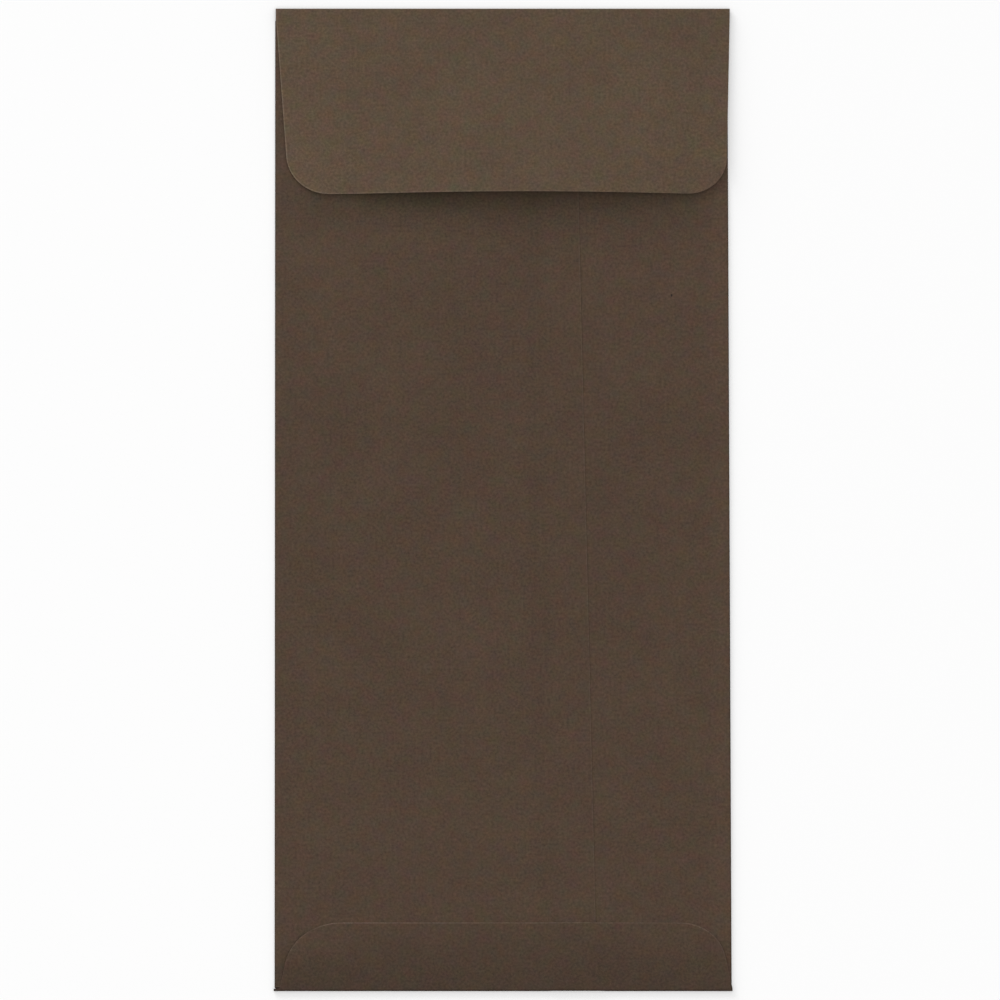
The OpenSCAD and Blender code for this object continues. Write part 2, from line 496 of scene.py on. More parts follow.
@dataclass(frozen=True)
class FlapCut:
    """The cut outline of a flap, between its fold and its far edge."""

    depth: float
    left: SideCut
    right: SideCut

    def span(self, along: float, half_width: float) -> tuple[float, float]:
        """Gives the left and right edge at a distance from the fold.

        Args:
            along: Distance from the fold's outermost line.
            half_width: Half the envelope's width.

        Returns:
            X of the left edge and of the right edge.
        """
        left = self.left.edge_inset(along, self.depth)
        right = self.right.edge_inset(along, self.depth)
        return -half_width + left, half_width - right

    def rows(self, start: float, step: float, corner_rows: int) -> list[float]:
        """Gives the distances at which the flap's outline is worked out.

        Args:
            start: First distance.
            step: Largest distance between rows on the straight stretch.
            corner_rows: Number of rows round the corners.

        Returns:
            The distances, from start to the far edge, closer where the corners bend.
        """
        corner = max(self.left.corner, self.right.corner)
        bend = self.depth - corner
        count = max(1, math.ceil((bend - start) / step))
        straight = [start + (bend - start) * i / count for i in range(count)]
        quarter = math.pi / 2 / corner_rows
        return straight + [bend + corner * math.sin(quarter * i) for i in range(corner_rows + 1)]


class BlankMesh:
    """The flat blank as one connected grid, built leaf by leaf."""

    def __init__(self) -> None:
        """Starts with no points."""
        self.points: list[Point] = []
        self.leaves: list[int] = []
        self.faces: list[tuple[int, ...]] = []

    def add_row(self, leaf: Leaf, places: list[tuple[float, float]]) -> list[int]:
        """Adds a row of points.

        Args:
            leaf: The leaf that the row belongs to.
            places: X and Y of each point.

        Returns:
            The points' indices.
        """
        first = len(self.points)
        self.points.extend((x, y, 0.0) for x, y in places)
        self.leaves.extend([int(leaf)] * len(places))
        return list(range(first, first + len(places)))

    def bridge(self, rows: list[list[int]], backwards: bool) -> None:
        """Joins rows of as many points with faces whose outer side is down.

        Args:
            rows: The rows, from the front panel outwards or from the bottom up.
            backwards: Whether the rows run against the turn in which their points are listed.
        """
        for lower, upper in zip(rows, rows[1:]):
            if backwards:
                lower, upper = upper, lower
            for k in range(len(lower) - 1):
                self.faces.append((lower[k], upper[k], upper[k + 1], lower[k + 1]))

    def made(self, name: str) -> bpy.types.Mesh:
        """Makes the mesh.

        Args:
            name: The mesh's name.

        Returns:
            The mesh, with each point's leaf stored on it.
        """
        mesh = bpy.data.meshes.new(name)
        mesh.from_pydata(self.points, [], self.faces)
        mesh.attributes.new("leaf", "INT", "POINT").data.foreach_set("value", self.leaves)
        mesh.validate()
        return mesh


def spread(low: float, high: float, count: int, margins: tuple[float, ...]) -> list[float]:
    """Gives places from low to high, close together at both ends and even between.

    Args:
        low: First place.
        high: Last place.
        count: Number of even intervals between the margins.
        margins: Distances from each end of the places near it, growing.

    Returns:
        The places, in order.
    """
    first = low + margins[-1]
    inner = high - low - 2 * margins[-1]
    near = [low + margin for margin in margins[:-1]]
    middle = [first + inner * k / count for k in range(count + 1)]
    far = [high - margin for margin in reversed(margins[:-1])]
    return [low, *near, *middle, *far, high]


@dataclass(frozen=True)
class Spring:
    """How the paper springs off the layers under it: lengths in metres, and shares."""

    lift_left: float = 0.1 * MM
    lift_right: float = 0.5 * MM
    bow_height: float = 1.8 * MM
    bow_centre: float = 4.0 * MM
    bow_half_width: float = 38.0 * MM
    bow_blend: float = 0.12
    bow_room: float = 2.0
    puff: float = 0.30 * MM
    puff_side: float = 26.0 * MM
    puff_foot: float = 34.0 * MM
    puff_head: float = 78.0 * MM
    crinkle: float = 0.10 * MM
    wave: float = 45.0 * MM
    rim_press: float = 0.05 * MM
    loose_left: float = 0.60 * MM
    loose_right: float = 0.30 * MM
    loose_in: float = 0.35
    loose_down: float = 0.55
    loose_reach: float = 0.75


@dataclass(frozen=True)
class Tones:
    """Where the paper is lighter or darker, some of it painted shadow and painted light: factors of its
    colour, and lengths in metres.
    """

    flap_tone: Colour = (1.30, 1.37, 1.33)
    # Painted light on the seal flap: darker near its fold, lighter towards its free edge and at its left
    # side.
    flap_root_tone: float = 0.965
    flap_end_tone: float = 1.025
    flap_left_tone: float = 1.095
    flap_side_near: float = 34.0 * MM
    flap_side_far: float = 44.0 * MM
    foot_tone: float = 0.765
    foot_reach: float = 21.0 * MM
    foot_reach_left: float = 12.5 * MM
    foot_side_near: float = 22.0 * MM
    foot_side_far: float = 42.0 * MM
    head_tone: float = 1.06
    head_near: float = 60.0 * MM
    head_far: float = 110.0 * MM
    head_side: float = 30.0 * MM
    # Painted shadow below the seal flap's free edge: its tone, reach and share beside the flap, and how
    # much deeper it is close below the flap's left half.
    shade_tone: Colour = (0.80, 0.845, 0.815)
    shade_reach: float = 13.0 * MM
    shade_beside: float = 0.25
    shade_side_near: float = 3.0 * MM
    shade_side_far: float = 10.0 * MM
    rub_depth: float = 0.75
    rub_near: float = 1.0 * MM
    rub_far: float = 5.5 * MM
    rub_start_near: float = 4.0 * MM
    rub_start_far: float = 16.0 * MM
    rub_end_near: float = 29.0 * MM
    rub_end_far: float = 37.0 * MM
    right_tone: float = 1.09
    right_side_near: float = 1.5 * MM
    right_side_far: float = 6.5 * MM
    glue_tone: float = 0.94
    glue_near: float = 0.4 * MM
    glue_far: float = 3.4 * MM
    # Painted shade in the turns of the side folds and the bottom fold.
    crease_tone: float = 0.50
    crease_reach: float = 0.35 * MM


@dataclass(frozen=True)
class Wear:
    """How much lighter the cut rims are made by painted highlight and scuffing: gains in tone, and
    lengths in metres.
    """

    # Painted highlight along the cut rims, with some scuffing: more on the left, with its own value at
    # each corner of the bottom flap.
    wear_left: float = 0.80
    wear_right: float = 0.15
    seal_wear: float = 0.55
    seam_wear: float = 0.62
    fold_wear: float = 0.3
    corner_wear_left: float = 0.28
    corner_wear_right: float = 0.62
    corner_side_near: float = 38.0 * MM
    corner_side_far: float = 44.0 * MM


@dataclass
class FoldedSheet:
    """The envelope: one die-cut sheet, folded four times. Its sizes are the solid's, in metres."""

    paper: float = 0.15 * MM
    width: float = 104.8 * MM
    length: float = 241.3 * MM
    pocket_gap: float = 0.4 * MM
    mouth_drop: float = 2.4 * MM
    corner_notch: float = 0.4 * MM
    ear: float = 0.2 * MM
    shoulder_inset: float = 0.1 * MM
    seam_bottom: float = 21.6 * MM
    seam_top: float = 16.9 * MM
    overlap: float = 10.0 * MM
    step_width: float = 0.8 * MM
    step_clear: float = 0.2 * MM
    rest_gap: float = 0.15 * MM
    bottom: FlapCut = FlapCut(
        16.5 * MM, SideCut(1.0 * MM, 12.0, 13.0 * MM), SideCut(-0.3 * MM, 11.5, 10.5 * MM)
    )
    bottom_flat: float = 0.1 * MM
    seal: FlapCut = FlapCut(
        46.2 * MM, SideCut(0.0, 4.0, 10.0 * MM), SideCut(-0.6 * MM, 1.3, 9.0 * MM)
    )
    seal_flat: float = 1.0 * MM
    grid: float = 1.7 * MM
    rim_rows: tuple[float, ...] = (0.12 * MM, 0.28 * MM, 0.50 * MM)
    slit: float = 0.05 * MM
    arc_steps: int = 12
    corner_steps: int = 16
    step_rows: int = 8
    spring: Spring = Spring()
    tones: Tones = Tones()
    # Painted highlight and scuffing on the cut rims.
    wear: Wear = Wear()
    finish: KraftPaper = KraftPaper()

    @property
    def side_rise(self) -> float:
        """Height between the front panel and a back panel."""
        return self.paper + self.pocket_gap

    @property
    def bottom_rise(self) -> float:
        """Height between the front panel and the bottom flap."""
        return self.side_rise + self.paper

    @property
    def seal_rise(self) -> float:
        """Height between the front panel and the seal flap at its root."""
        return self.bottom_rise + self.paper + self.rest_gap

    def outer_radius(self, rise: float) -> float:
        """Gives the outer radius of a fold whose leaves lie a rise apart."""
        return (rise - self.paper) / 2 + self.paper

    @property
    def side_crease(self) -> float:
        """Distance of the side folds' start from the centre line."""
        return self.width / 2 - self.outer_radius(self.side_rise)

    @property
    def bottom_crease(self) -> float:
        """Distance of the bottom fold's start from the centre."""
        return self.length / 2 - self.outer_radius(self.bottom_rise)

    @property
    def seal_crease(self) -> float:
        """Distance of the top fold's start from the centre."""
        return self.length / 2 - self.outer_radius(self.seal_rise)

    @property
    def seal_root(self) -> float:
        """Distance from the top fold at which the seal flap starts to lift."""
        return self.outer_radius(self.seal_rise) + self.seal_flat

    @property
    def ear_span(self) -> tuple[float, float]:
        """X of the bottom fold's two ends."""
        reach = self.width / 2 + self.ear
        return -reach, reach

    @property
    def shoulder(self) -> float:
        """Distance of the front panel's edges beside the mouth from the centre line."""
        return self.width / 2 - self.shoulder_inset

    @property
    def top_span(self) -> tuple[float, float]:
        """X of the top fold's two ends."""
        left, right = self.seal.span(self.seal_root, self.width / 2)
        return min(-self.shoulder, left), max(self.shoulder, right)

    @property
    def seam_slant(self) -> float:
        """Angle between the seam and the envelope's length."""
        return math.atan2(self.seam_bottom - self.seam_top, self.length)

    @property
    def step_top(self) -> float:
        """Where the left panel's step ends, square to the seam."""
        return -self.overlap - self.step_clear

    @property
    def step_foot(self) -> float:
        """Where the left panel's step starts, square to the seam."""
        return self.step_top - self.step_width

    def beside_seam(self, y: float, distance: float) -> float:
        """Gives X of a line that runs beside the seam, at a distance square to it."""
        fall = (y + self.length / 2) * math.tan(self.seam_slant)
        return self.seam_bottom - fall + distance / math.cos(self.seam_slant)

    def arc_rows(self, rise: float) -> list[float]:
        """Gives the distances past a crease that round its fold."""
        turn = math.pi * rise / 2
        return [turn * i / self.arc_steps for i in range(1, self.arc_steps + 1)]

    def add_front(self, blank: BlankMesh) -> tuple[list[list[int]], list[float]]:
        """Adds the front panel, whose ends widen to the two end folds.

        Args:
            blank: The mesh under construction.

        Returns:
            Its rows of points from the bottom up, and Y of those beside the pocket, which
            are the second row and the ones that follow it.
        """
        mouth = self.seal_crease - self.mouth_drop
        notch = -self.bottom_crease + self.corner_notch
        count = round((mouth - notch) / self.grid)
        beside_pocket = spread(notch, mouth, count, self.rim_rows)
        beside_mouth = [mouth + self.slit, (mouth + self.seal_crease) / 2, self.seal_crease - self.slit]
        spans = [(-self.bottom_crease, self.ear_span)]
        spans += [(y, (-self.side_crease, self.side_crease)) for y in beside_pocket]
        spans += [(y, (-self.shoulder, self.shoulder)) for y in beside_mouth]
        spans.append((self.seal_crease, self.top_span))
        rows = []
        for y, (low, high) in spans:
            xs = spread(low, high, round(self.width / self.grid), self.rim_rows)
            rows.append(blank.add_row(Leaf.FRONT, [(x, y) for x in xs]))
        blank.bridge(rows, False)
        return rows, beside_pocket

    def add_side(self, blank: BlankMesh, leaf: Leaf, rows: list[list[int]], ys: list[float]) -> None:
        """Adds a side leaf, which becomes one of the back panels.

        Args:
            blank: The mesh under construction.
            leaf: LEFT, which runs to the seam, or RIGHT, which runs on under it.
            rows: The front panel's rows beside the leaf.
            ys: Their Y.
        """
        side = -1.0 if leaf is Leaf.LEFT else 1.0
        turn = math.pi * self.side_rise / 2
        columns = [[row[0 if leaf is Leaf.LEFT else -1] for row in rows]]
        for d in self.arc_rows(self.side_rise):
            columns.append(blank.add_row(leaf, [(side * (self.side_crease + d), y) for y in ys]))
        lines = self.seam_lines(leaf)
        reach = self.side_crease - side * self.beside_seam(0.0, lines[0])
        count = round(reach / self.grid)
        shares = [(k / count, lines[0]) for k in range(1, count)]
        for share, distance in shares + [(1.0, line) for line in lines]:
            places = []
            for y in ys:
                run = self.side_crease - side * self.beside_seam(y, distance)
                places.append((side * (self.side_crease + turn + run * share), y))
            columns.append(blank.add_row(leaf, places))
        blank.bridge(columns, leaf is Leaf.RIGHT)

    def seam_lines(self, leaf: Leaf) -> list[float]:
        """Gives the distances from the seam at which a back panel's last rows run beside it.

        Args:
            leaf: LEFT or RIGHT.

        Returns:
            The distances, from the panel's middle to its cut edge.
        """
        if leaf is Leaf.RIGHT:
            return [-self.overlap + margin for margin in (*reversed(self.rim_rows), 0.0)]
        step = [self.step_foot + self.step_width * k / self.step_rows for k in range(self.step_rows + 1)]
        rest = spread(self.step_top, 0.0, self.step_rows, self.rim_rows)
        return step + rest[len(self.rim_rows):]

    def add_flap(self, blank: BlankMesh, leaf: Leaf, crease_row: list[int]) -> None:
        """Adds the bottom flap or the seal flap.

        Args:
            blank: The mesh under construction.
            leaf: BOTTOM or SEAL.
            crease_row: The front panel's row on the crease.
        """
        if leaf is Leaf.BOTTOM:
            cut, rise, crease, side = self.bottom, self.bottom_rise, self.bottom_crease, -1.0
            fold_span = self.ear_span
            root = self.outer_radius(rise) + self.bottom_flat
        else:
            cut, rise, crease, side = self.seal, self.seal_rise, self.seal_crease, 1.0
            fold_span = self.top_span
            root = self.seal_root
        turn = math.pi * rise / 2
        spans = [(d, fold_span) for d in self.arc_rows(rise)]
        for along in cut.rows(root, self.grid, self.corner_steps):
            spans.append((turn + along - self.outer_radius(rise), cut.span(along, self.width / 2)))
        rows = [crease_row]
        for d, span in spans:
            xs = spread(*span, round(self.width / self.grid), self.rim_rows)
            rows.append(blank.add_row(leaf, [(x, side * (crease + d)) for x in xs]))
        blank.bridge(rows, leaf is Leaf.BOTTOM)

    def blank(self) -> bpy.types.Mesh:
        """Makes the flat blank.

        Returns:
            Its mesh, with the front panel in the middle and the four other leaves round it.
        """
        mesh = BlankMesh()
        rows, ys = self.add_front(mesh)
        beside_pocket = rows[1:len(ys) + 1]
        self.add_side(mesh, Leaf.LEFT, beside_pocket, ys)
        self.add_side(mesh, Leaf.RIGHT, beside_pocket, ys)
        self.add_flap(mesh, Leaf.BOTTOM, rows[0])
        self.add_flap(mesh, Leaf.SEAL, rows[-1])
        return mesh.made("envelope_blank")

    def fold_inputs(self) -> dict[str, float | Colour]:
        """Gives the sizes that the fold tree takes.

        Returns:
            Each size by the name of its input, which is the size's own in words with capitals.
        """
        own = (
            "paper", "width", "length", "side_crease", "bottom_crease", "seal_crease", "side_rise",
            "bottom_rise", "seal_rise", "seam_bottom", "seam_slant", "step_foot", "step_top",
            "step_clear", "step_width", "seal_root",
        )
        inputs = {name: getattr(self, name) for name in own}
        inputs["seal_depth"] = self.seal.depth
        inputs["bottom_depth"] = self.bottom.depth
        inputs["corner_left"] = self.bottom.left.corner
        inputs["corner_right"] = self.bottom.right.corner
        inputs["rim_width"] = self.rim_rows[-2]
        for part in (self.spring, self.tones, self.wear):
            inputs |= vars(part)
        return {name.replace("_", " ").title(): value for name, value in inputs.items()}

    def build(self) -> bpy.types.Object:
        """Folds the blank with the tree and takes the result as a plain mesh.

        Returns:
            The finished envelope, in the part's frame.
        """
        inputs = self.fold_inputs()
        tree = FoldTree(inputs).build()
        source = add_object("envelope_blank", self.blank())
        modifier = source.modifiers.new("fold", "NODES")
        modifier.node_group = tree
        sockets = {item.name: item.identifier for item in tree.interface.items_tree}
        for name, value in inputs.items():
            modifier[sockets[name]] = value
        modifier[sockets["Finish"]] = self.finish.material()
        graph = bpy.context.evaluated_depsgraph_get()
        mesh = bpy.data.meshes.new_from_object(source.evaluated_get(graph), depsgraph=graph)
        bpy.data.objects.remove(source)
        mesh.name = PIECE
        return add_object(PIECE, mesh)

    def declare(self, piece: bpy.types.Object) -> None:
        """Hides the CAD part that the piece stands for and attaches it to the body that it moves with.

        Args:
            piece: The finished envelope.
        """
        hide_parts(NODE)
        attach(piece, BODY)


class FoldTree:
    """The Geometry Nodes tree that folds the flat blank and gives it its thickness."""

    FOLDS: tuple[tuple[Leaf, Point, str], ...] = (
        (Leaf.LEFT, (-1.0, 0.0, 0.0), "Side"),
        (Leaf.RIGHT, (1.0, 0.0, 0.0), "Side"),
        (Leaf.BOTTOM, (0.0, -1.0, 0.0), "Bottom"),
        (Leaf.SEAL, (0.0, 1.0, 0.0), "Seal"),
    )
    MERGE_DISTANCE = 0.0005 * MM
    SHARP_ANGLE = math.radians(50.0)

    def __init__(self, inputs: dict[str, float | Colour]) -> None:
        """Starts the tree.

        Args:
            inputs: The tree's sizes by name; each value says whether it is a number or a colour.
        """
        kinds = {"Sheet": Socket.GEOMETRY}
        for name, value in inputs.items():
            kinds[name] = Socket.VECTOR if isinstance(value, tuple) else Socket.FLOAT
        kinds["Finish"] = Socket.MATERIAL
        self.graph, self.given = new_group(
            "fold_envelope", "GeometryNodeTree", kinds, {"Envelope": Socket.GEOMETRY}
        )
        leaf = self.graph.stored("leaf", "INT")
        self.on = {kind: self.graph.equal(leaf, kind) for kind in Leaf}
        self.x, self.y, self.z = self.graph.split(self.graph.position())
        self.from_foot = self.y + self.given["Length"] * 0.5
        self.in_from_side = self.given["Width"] * 0.5 - abs(self.x)

    def build(self) -> bpy.types.NodeTree:
        """Makes the whole tree, with a named input for each size and for the finish.

        Returns:
            The finished tree.
        """
        graph, given = self.graph, self.given
        sheet = self.store(given["Sheet"], "blank", graph.position(), "FLOAT_VECTOR")
        sheet = self.store(sheet, "rim", self.edge_distance(sheet))
        bend = self.bend_group()
        for leaf, across, fold in self.FOLDS:
            bent = graph.group(bend, {
                "Sheet": sheet,
                "Selection": self.on[leaf],
                "Across": across,
                "Crease": given[fold + " Crease"],
                "Rise": given[fold + " Rise"],
            })
            sheet = bent.outputs[0]
        height = self.layers() + self.springing() + self.loose_corners()
        sheet = graph.shifted(sheet, graph.join(0.0, 0.0, height))
        # The tone holds painted shadow, painted shade and painted light besides the paper's own tones.
        sheet = self.store(sheet, "tone", self.tones(), "FLOAT_VECTOR")
        # Painted highlight, with some scuffing, for the cut rims.
        sheet = self.store(sheet, "wear", self.rim_wear())
        sheet = graph.made("GeometryNodeRealizeInstances", {"Geometry": self.thicken(sheet)})
        finished = {"Geometry": sheet, "Material": given["Finish"]}
        return close_group(graph, {"Envelope": graph.made("GeometryNodeSetMaterial", finished)})

    @staticmethod
    def bend_group() -> bpy.types.NodeTree:
        """Makes the group that turns what lies past a crease through half a turn.

        Returns:
            A group that carries the selected points round a fold whose leaves end a rise apart.
        """
        sizes = {"Across": Socket.VECTOR, "Crease": Socket.FLOAT, "Rise": Socket.FLOAT}
        graph, given = new_group(
            "bend_at_crease", "GeometryNodeTree",
            {"Sheet": Socket.GEOMETRY, "Selection": Socket.BOOL, **sizes},
            {"Sheet": Socket.GEOMETRY},
        )
        reached = graph.vector("DOT_PRODUCT", graph.position(), given["Across"])
        past = graph.math("MAXIMUM", reached - given["Crease"], 0.0)
        radius = given["Rise"] * 0.5
        turn = graph.math("MINIMUM", past / radius, math.pi)
        run_out = graph.math("MAXIMUM", past - radius * math.pi, 0.0)
        reach = radius * graph.math("SINE", turn) - run_out - past
        up = graph.join(0.0, 0.0, radius * (1.0 - graph.math("COSINE", turn)))
        shift = graph.vector("ADD", graph.vector("SCALE", given["Across"], reach), up)
        return close_group(graph, {"Sheet": graph.shifted(given["Sheet"], shift, given["Selection"])})

    def store(self, sheet: object, name: str, value: object, kind: str = "FLOAT",
              domain: str = "POINT") -> Field:
        """Stores a value on the sheet under a name and gives the sheet."""
        inputs = {"Geometry": sheet, "Name": name, "Value": value}
        return self.graph.made("GeometryNodeStoreNamedAttribute", inputs, data_type=kind, domain=domain)

    def edge_distance(self, blank: Field) -> Field:
        """Measures the flat blank from its cut edges, which have a face on one side only.

        Args:
            blank: The flat blank.

        Returns:
            Each point's distance from the nearest cut edge.
        """
        graph = self.graph
        faces = graph.use("GeometryNodeInputMeshEdgeNeighbors").outputs["Face Count"]
        inputs = {"Geometry": blank, "Selection": graph.equal(faces, 1)}
        cut = graph.made("GeometryNodeSeparateGeometry", inputs, domain="EDGE")
        near = graph.use("GeometryNodeProximity", {0: cut}, target_element="EDGES")
        return Field(graph, near.outputs["Distance"])

    def fade(self, value: Field, name: str, start: object = 0.0, end: object = 1.0) -> Field:
        """Gives a soft step from start to end between the two places of a name, Near and Far."""
        return self.graph.ramp(value, self.given[name + " Near"], self.given[name + " Far"], start, end)

    def beside_seam(self) -> Field:
        """Measures the sheet from the seam.

        Returns:
            Each point's distance from the seam, square to it, and less than 0 left of it.
        """
        slant = self.given["Seam Slant"]
        seam_x = self.given["Seam Bottom"] - self.from_foot * self.graph.math("TANGENT", slant)
        return (self.x - seam_x) * self.graph.math("COSINE", slant)

    def layers(self) -> Field:
        """Gives how far each leaf steps up over the layers under it.

        Returns:
            The height, 0 where a leaf lies on a single layer.
        """
        given, on = self.given, self.on
        beside = self.beside_seam()
        up = self.graph.ramp(beside, given["Step Foot"], given["Step Top"])
        clear = given["Step Clear"]
        down = self.graph.ramp(beside, clear, clear + given["Step Width"])
        return given["Paper"] * (on[Leaf.LEFT] * up + on[Leaf.BOTTOM] * (up - down))

    def springing(self) -> Field:
        """Gives how far the paper springs up: the seal flap's bow and the pocket's puff.

        Returns:
            The height of the bow on the seal flap, and of the puff where no bow takes its room.
        """
        graph, given, on_seal = self.graph, self.given, self.on[Leaf.SEAL]
        offset = (self.x - given["Bow Centre"]) / given["Bow Half Width"]
        arch = 1.0 - offset * offset
        blend = given["Bow Blend"]
        bow = (arch + graph.math("SQRT", arch * arch + blend * blend)) * 0.5
        corners = given["Lift Left"].toward(given["Lift Right"], self.x / given["Width"] + 0.5)
        root = given["Seal Root"]
        past_root = graph.math("MAXIMUM", given["Length"] * 0.5 - self.y - root, 0.0)
        run = past_root / (given["Seal Depth"] - root)
        flap = on_seal * (corners + given["Bow Height"] * bow) * run
        room = 1.0 - on_seal * graph.math("MINIMUM", bow * run * given["Bow Room"], 1.0)
        return flap + self.puff() * room

    def puff(self) -> Field:
        """Gives how far the pocket's back stands and waves off the front.

        Returns:
            The height, 0 at the folds, on the flaps' far ends and on the whole front panel.
        """
        graph, given, x, y = self.graph, self.given, self.x, self.y
        side, low, high = given["Side Crease"], -given["Bottom Crease"], given["Seal Crease"]
        across = graph.ramp(abs(x), side - given["Puff Side"], side, 1.0, 0.0)
        foot = graph.ramp(y, low, low + given["Puff Foot"])
        head = graph.ramp(y, high - given["Puff Head"], high, 1.0, 0.0)
        wave = graph.noise(graph.join(x, y, 0.0), graph.math("DIVIDE", 1.0, given["Wave"]), 1.0)
        height = given["Puff"] + (wave - NOISE_MEAN) * 2.0 * given["Crinkle"]
        return (1.0 - self.on[Leaf.FRONT]) * across * foot * head * height

    def loose_corners(self) -> Field:
        """Gives how far the bottom flap's two corners stand off the back.

        Returns:
            The height, largest where a corner's arc is half way round.
        """
        graph, given = self.graph, self.given
        lifts = []
        for side, name in ((-1.0, "Left"), (1.0, "Right")):
            radius = given["Corner " + name]
            away_x = given["Width"] * 0.5 - self.x * side - radius * given["Loose In"]
            away_y = self.from_foot - given["Bottom Depth"] + radius * given["Loose Down"]
            away = graph.math("SQRT", away_x * away_x + away_y * away_y)
            lifts.append(graph.ramp(away, radius * given["Loose Reach"], 0.0) * given["Loose " + name])
        return self.on[Leaf.BOTTOM] * (lifts[0] + lifts[1])

    def tones(self) -> Field:
        """Gives the paper's tone, which differs a little from place to place.

        Returns:
            A colour factor: the back's tones with a painted shadow below the seal flap, the lighter seal
            flap with painted light growing towards its free edge and its left side, and painted shade in
            the turns of the side folds and the bottom fold. It is 1 on the front panel, away from its
            folds.
        """
        graph, given = self.graph, self.given
        up = graph.ramp(self.z, 0.0, given["Side Rise"])
        on_flap = self.on[Leaf.SEAL] * up
        back = self.lean(self.back_tone(), up - on_flap)
        sheet = graph.vector("MULTIPLY", back, self.lean(self.flap_tone(), on_flap))
        # Painted shade in the outer turn of the side folds and the bottom fold.
        in_from_fold = graph.math("MINIMUM", self.in_from_side, self.from_foot)
        crease = graph.ramp(in_from_fold, 0.0, given["Crease Reach"], given["Crease Tone"], 1.0)
        return graph.vector("SCALE", sheet, (1.0 - self.on[Leaf.SEAL]) * (crease - 1.0) + 1.0)

    def back_tone(self) -> Field:
        """Gives the tone of the pocket's back.

        Returns:
            A colour factor: darker at the foot and over the seam's glued edge, with a painted shadow
            below the seal flap, and lighter at both sides of the pocket's head and along its right edge.
        """
        graph, given, x = self.graph, self.given, self.x
        low = -given["Bottom Crease"]
        reach = self.fade(-x, "Foot Side", given["Foot Reach"], given["Foot Reach Left"])
        foot = graph.ramp(self.y, low, low + reach, given["Foot Tone"], 1.0)
        head = self.fade(given["Seal Crease"] - self.y, "Head", 1.0, 0.0) * (given["Head Tone"] - 1.0)
        head = head * graph.ramp(abs(x), 0.0, given["Head Side"]) + 1.0
        right = self.fade(given["Width"] * 0.5 - x, "Right Side", given["Right Tone"], 1.0)
        off_glue = abs(self.beside_seam() - given["Step Foot"])
        glue = self.fade(off_glue, "Glue", given["Glue Tone"], 1.0)
        back = foot * head * right * (self.on[Leaf.LEFT] * (glue - 1.0) + 1.0)
        # Painted shadow below the seal flap's free edge.
        return graph.vector("SCALE", self.lean(given["Shade Tone"], self.shade()), back)

    def shade(self) -> Field:
        """Gives how deep the painted shadow is below the seal flap's free edge.

        Returns:
            A share of the painted shadow's tone, 0 away from the flap: less beside the flap, and more
            than 1 close below its left half.
        """
        graph, given, left = self.graph, self.given, -self.x
        below = given["Seal Crease"] - self.y - given["Seal Depth"]
        shade = graph.ramp(below, given["Shade Reach"], 0.0)
        shade = shade * self.fade(self.in_from_side, "Shade Side", given["Shade Beside"], 1.0)
        # The painted shadow is deeper close below the flap's left half.
        left_shadow_gain = self.fade(left, "Rub Start") * self.fade(left, "Rub End", 1.0, 0.0)
        left_shadow_gain = left_shadow_gain * given["Rub Depth"] * self.fade(below, "Rub", 1.0, 0.0)
        return shade * (left_shadow_gain + 1.0)

    def flap_tone(self) -> Field:
        """Gives the seal flap's tone.

        Returns:
            A colour factor, with painted light that grows towards the flap's free edge and at its left
            side.
        """
        given = self.given
        down = (given["Seal Crease"] - self.y) / given["Seal Depth"]
        along = given["Flap Root Tone"].toward(given["Flap End Tone"], down)
        side = self.fade(-self.x, "Flap Side", 1.0, given["Flap Left Tone"])
        return self.graph.vector("SCALE", given["Flap Tone"], along * side)

    def lean(self, colour: Field, share: Field) -> Field:
        """Gives a colour factor that goes from 1 to the colour as the share goes from 0 to 1."""
        away = self.graph.vector("SUBTRACT", colour, UNTINTED)
        return self.graph.vector("ADD", self.graph.vector("SCALE", away, share), UNTINTED)

    def rim_wear(self) -> Field:
        """Gives how much lighter a cut rim is made by painted highlight and scuffing.

        Returns:
            The gain in tone, which falls from left to right, has its own value at each corner of
            the bottom flap, and is 0 on the front panel and on the right back panel.
        """
        graph, given, on, x = self.graph, self.given, self.on, self.x
        highlight_scuffed = given["Wear Left"].toward(given["Wear Right"], x / given["Width"] + 0.5)
        on_right = graph.math("GREATER_THAN", x, 0.0)
        corner = given["Corner Wear Left"].toward(given["Corner Wear Right"], on_right)
        rim = highlight_scuffed.toward(corner, self.fade(abs(x), "Corner Side"))
        along = self.from_foot / given["Bottom Depth"]
        bottom = rim * given["Fold Wear"].toward(1.0, along * along * along * along)
        sides = on[Leaf.SEAL] * given["Seal Wear"] + on[Leaf.LEFT] * given["Seam Wear"]
        return on[Leaf.BOTTOM] * bottom + highlight_scuffed * sides

